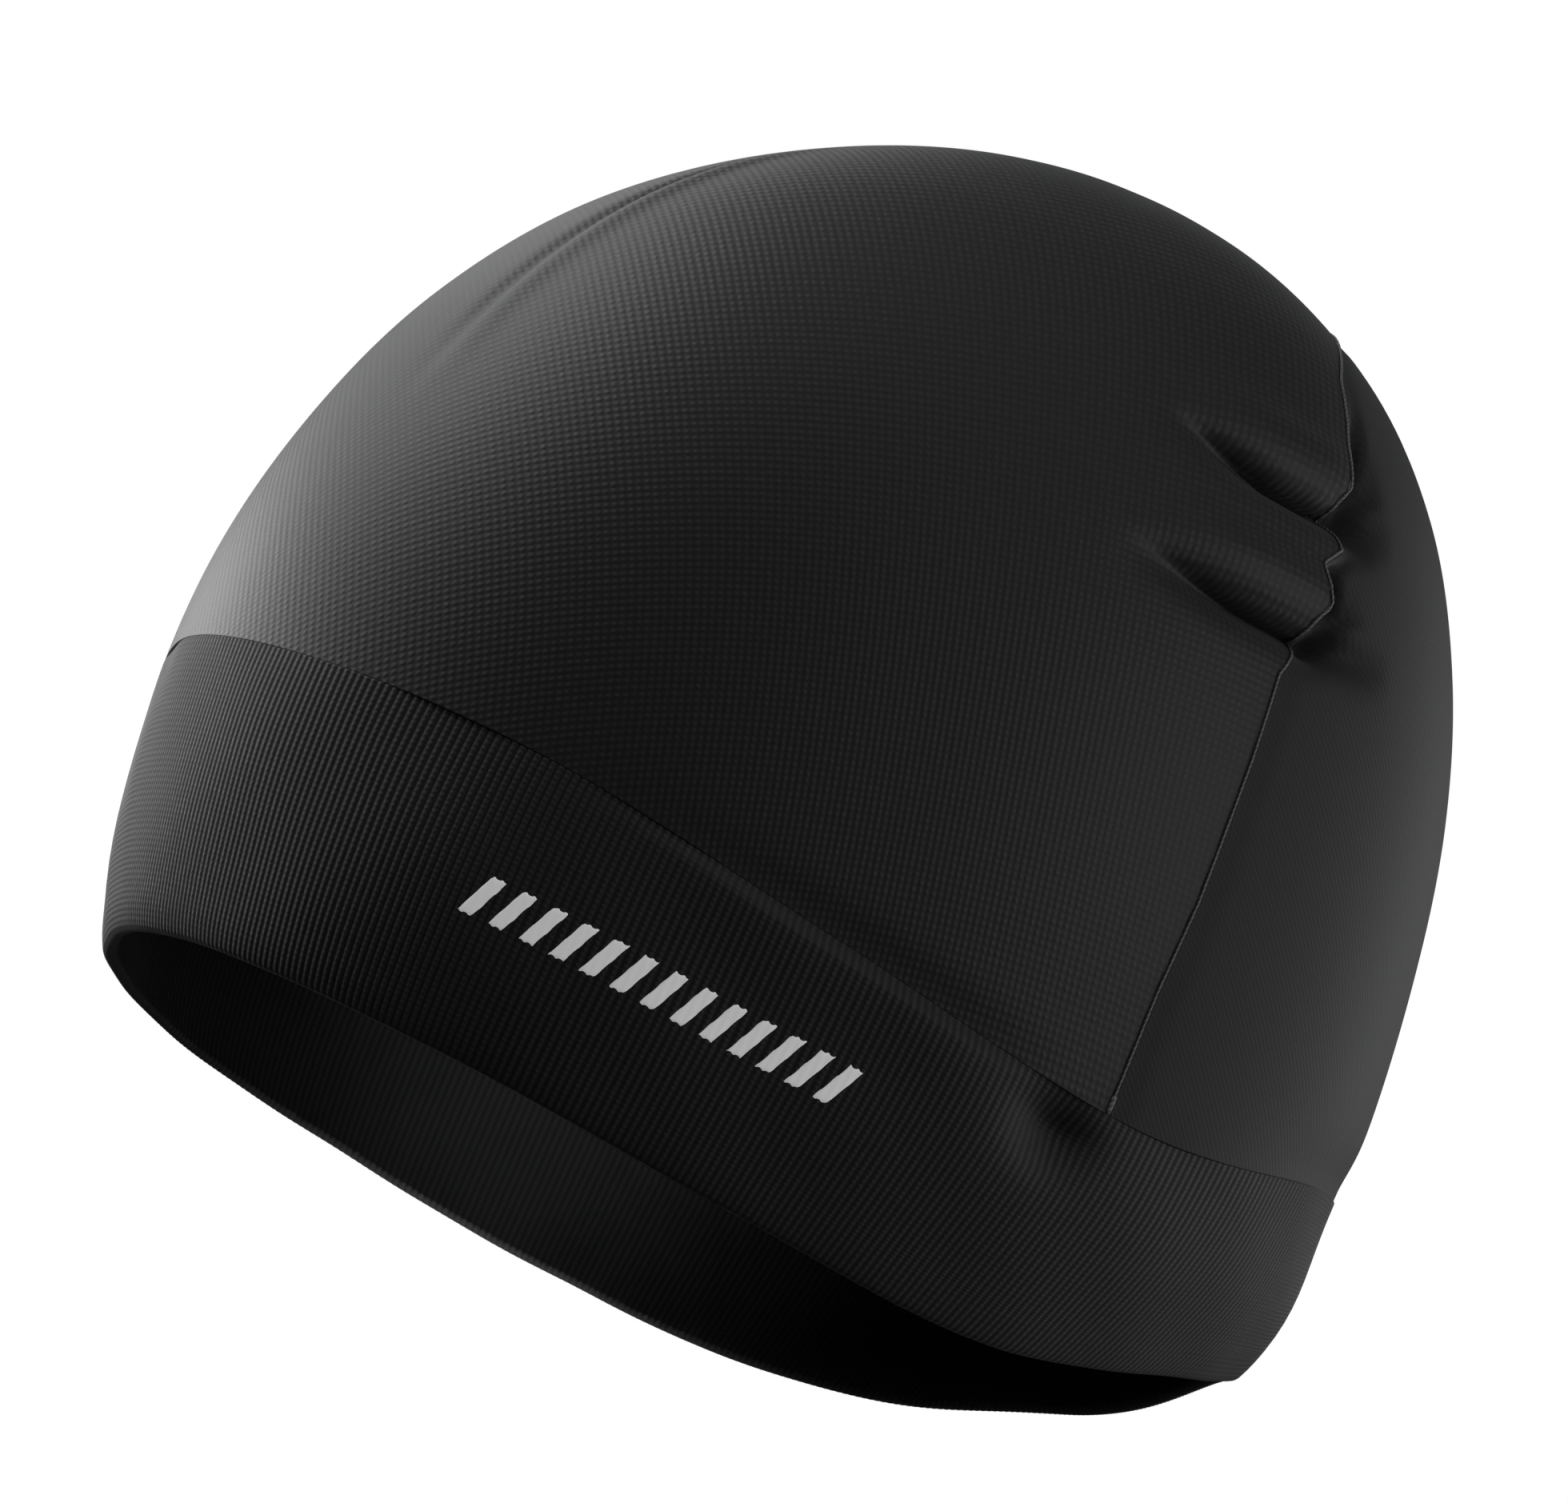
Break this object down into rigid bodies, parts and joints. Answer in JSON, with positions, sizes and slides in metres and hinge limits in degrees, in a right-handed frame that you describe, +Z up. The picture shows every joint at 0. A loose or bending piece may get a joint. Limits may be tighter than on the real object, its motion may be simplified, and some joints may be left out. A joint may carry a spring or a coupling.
{
  "type": "helmet liner",
  "caption": "Close-fitting knitted skull cap worn under a helmet, with a ribbed band, a smooth crown panel and an arched back panel.",
  "frame": {"origin": "inside of the crown's top, where the head bears; the liner hangs down from it as it does when worn", "axes": "+Z up, the front of the cap at -Y and its back at +Y, the wearer's left at +X"},
  "size_m": [0.1636, 0.2042, 0.1922],
  "materials": {
    "crown_knit": "fine square-grid stretch knit, soft sheen",
    "back_jersey": "smooth stretch jersey, faint diagonal wales",
    "rib_knit": "fine ribbed knit, doubled, ribs across the band",
    "seam_thread": "fine overlocked thread",
    "reflective_print": "grey heat-transferred reflective film"
  },
  "bodies": {
    "root": {"crown_panel": "crown_knit", "back_panel": "back_jersey", "band": "rib_knit"}
  },
  "joints": []
}
